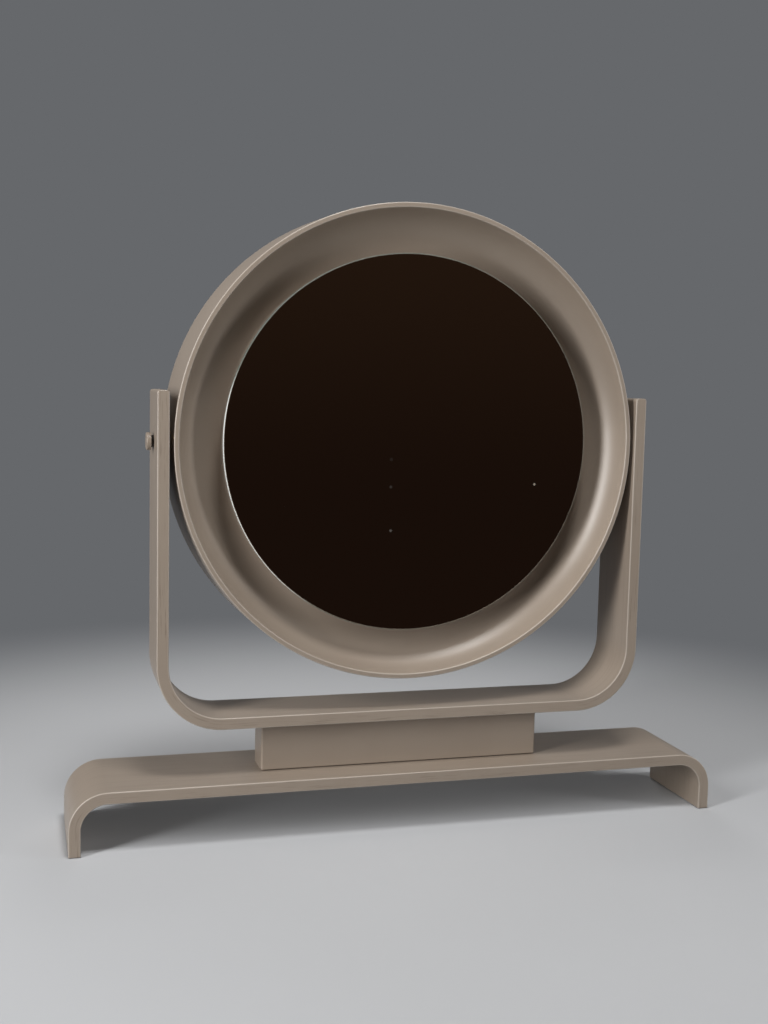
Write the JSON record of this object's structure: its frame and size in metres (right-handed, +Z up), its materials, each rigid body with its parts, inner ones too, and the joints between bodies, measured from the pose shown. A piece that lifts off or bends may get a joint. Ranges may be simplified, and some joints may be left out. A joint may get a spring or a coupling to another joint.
{
  "type": "vanity mirror",
  "caption": "Round tilting mirror with a deep rim in a bent plywood yoke, on a bench-shaped base with a slim drawer in the block between them.",
  "frame": {"origin": "on the table, under the middle of the base bench", "axes": "+Z up, +X to the right along the bench, -Y to the front, the way the mirror faces"},
  "size_m": [0.7, 0.116, 0.655],
  "materials": {
    "lacquered_ply": "satin taupe lacquer on bent plywood",
    "lacquered_rim": "satin taupe lacquer on turned wood",
    "mirror_glass": "silvered plate glass with a polished edge",
    "drawer_wood": "clear oiled birch",
    "drawer_felt": "dark brown wool felt",
    "foot_felt": "grey-brown wool felt",
    "foam_tape": "black closed-cell foam",
    "back_board": "smooth brown hardboard",
    "steel": "zinc-plated steel",
    "brass": "plain turned brass",
    "fibre": "dark vulcanised fibre"
  },
  "bodies": {
    "stand": {"base_bench": "lacquered_ply", "foot_pads": "foot_felt", "left_post": "lacquered_ply", "right_post": "lacquered_ply", "block_back_panel": "lacquered_ply", "drawer_runners": "drawer_wood", "yoke": "lacquered_ply", "frame_bolts": "steel", "bolt_washers": "steel", "yoke_inserts": "brass", "left_arm_bush": "brass", "right_arm_bush": "brass", "left_friction_washer": "fibre", "right_friction_washer": "fibre", "left_outer_washer": "fibre", "right_outer_washer": "fibre"},
    "drawer": {"drawer_front": "lacquered_ply", "drawer_left_side": "drawer_wood", "drawer_right_side": "drawer_wood", "drawer_back": "drawer_wood", "drawer_bottom": "drawer_wood", "drawer_lining": "drawer_felt"},
    "mirror": {"mirror_rim": "lacquered_rim", "mirror_glass": "mirror_glass", "mounting_tape": "foam_tape", "rear_cover": "back_board", "cover_screws": "steel", "left_rim_insert": "brass", "right_rim_insert": "brass"},
    "left_knob": {"left_pivot_knob": "lacquered_rim", "left_pivot_stud": "steel"},
    "right_knob": {"right_pivot_knob": "lacquered_rim", "right_pivot_stud": "steel"}
  },
  "joints": [
    {"name": "mirror_tilt", "type": "hinge", "parent": "stand", "child": "mirror", "pos_m": [0, 0, 0.406], "axis": [-1, 0, 0], "continuous": true},
    {"name": "drawer_slide", "type": "slide", "parent": "stand", "child": "drawer", "axis": [0, -1, 0], "range_m": [0, 0.022]},
    {"name": "left_knob_turn", "type": "hinge", "parent": "mirror", "child": "left_knob", "pos_m": [-0.263, 0, 0.406], "axis": [-1, 0, 0], "range_deg": [0, 180]},
    {"name": "right_knob_turn", "type": "hinge", "parent": "mirror", "child": "right_knob", "pos_m": [0.263, 0, 0.406], "axis": [1, 0, 0], "range_deg": [0, 180]}
  ]
}
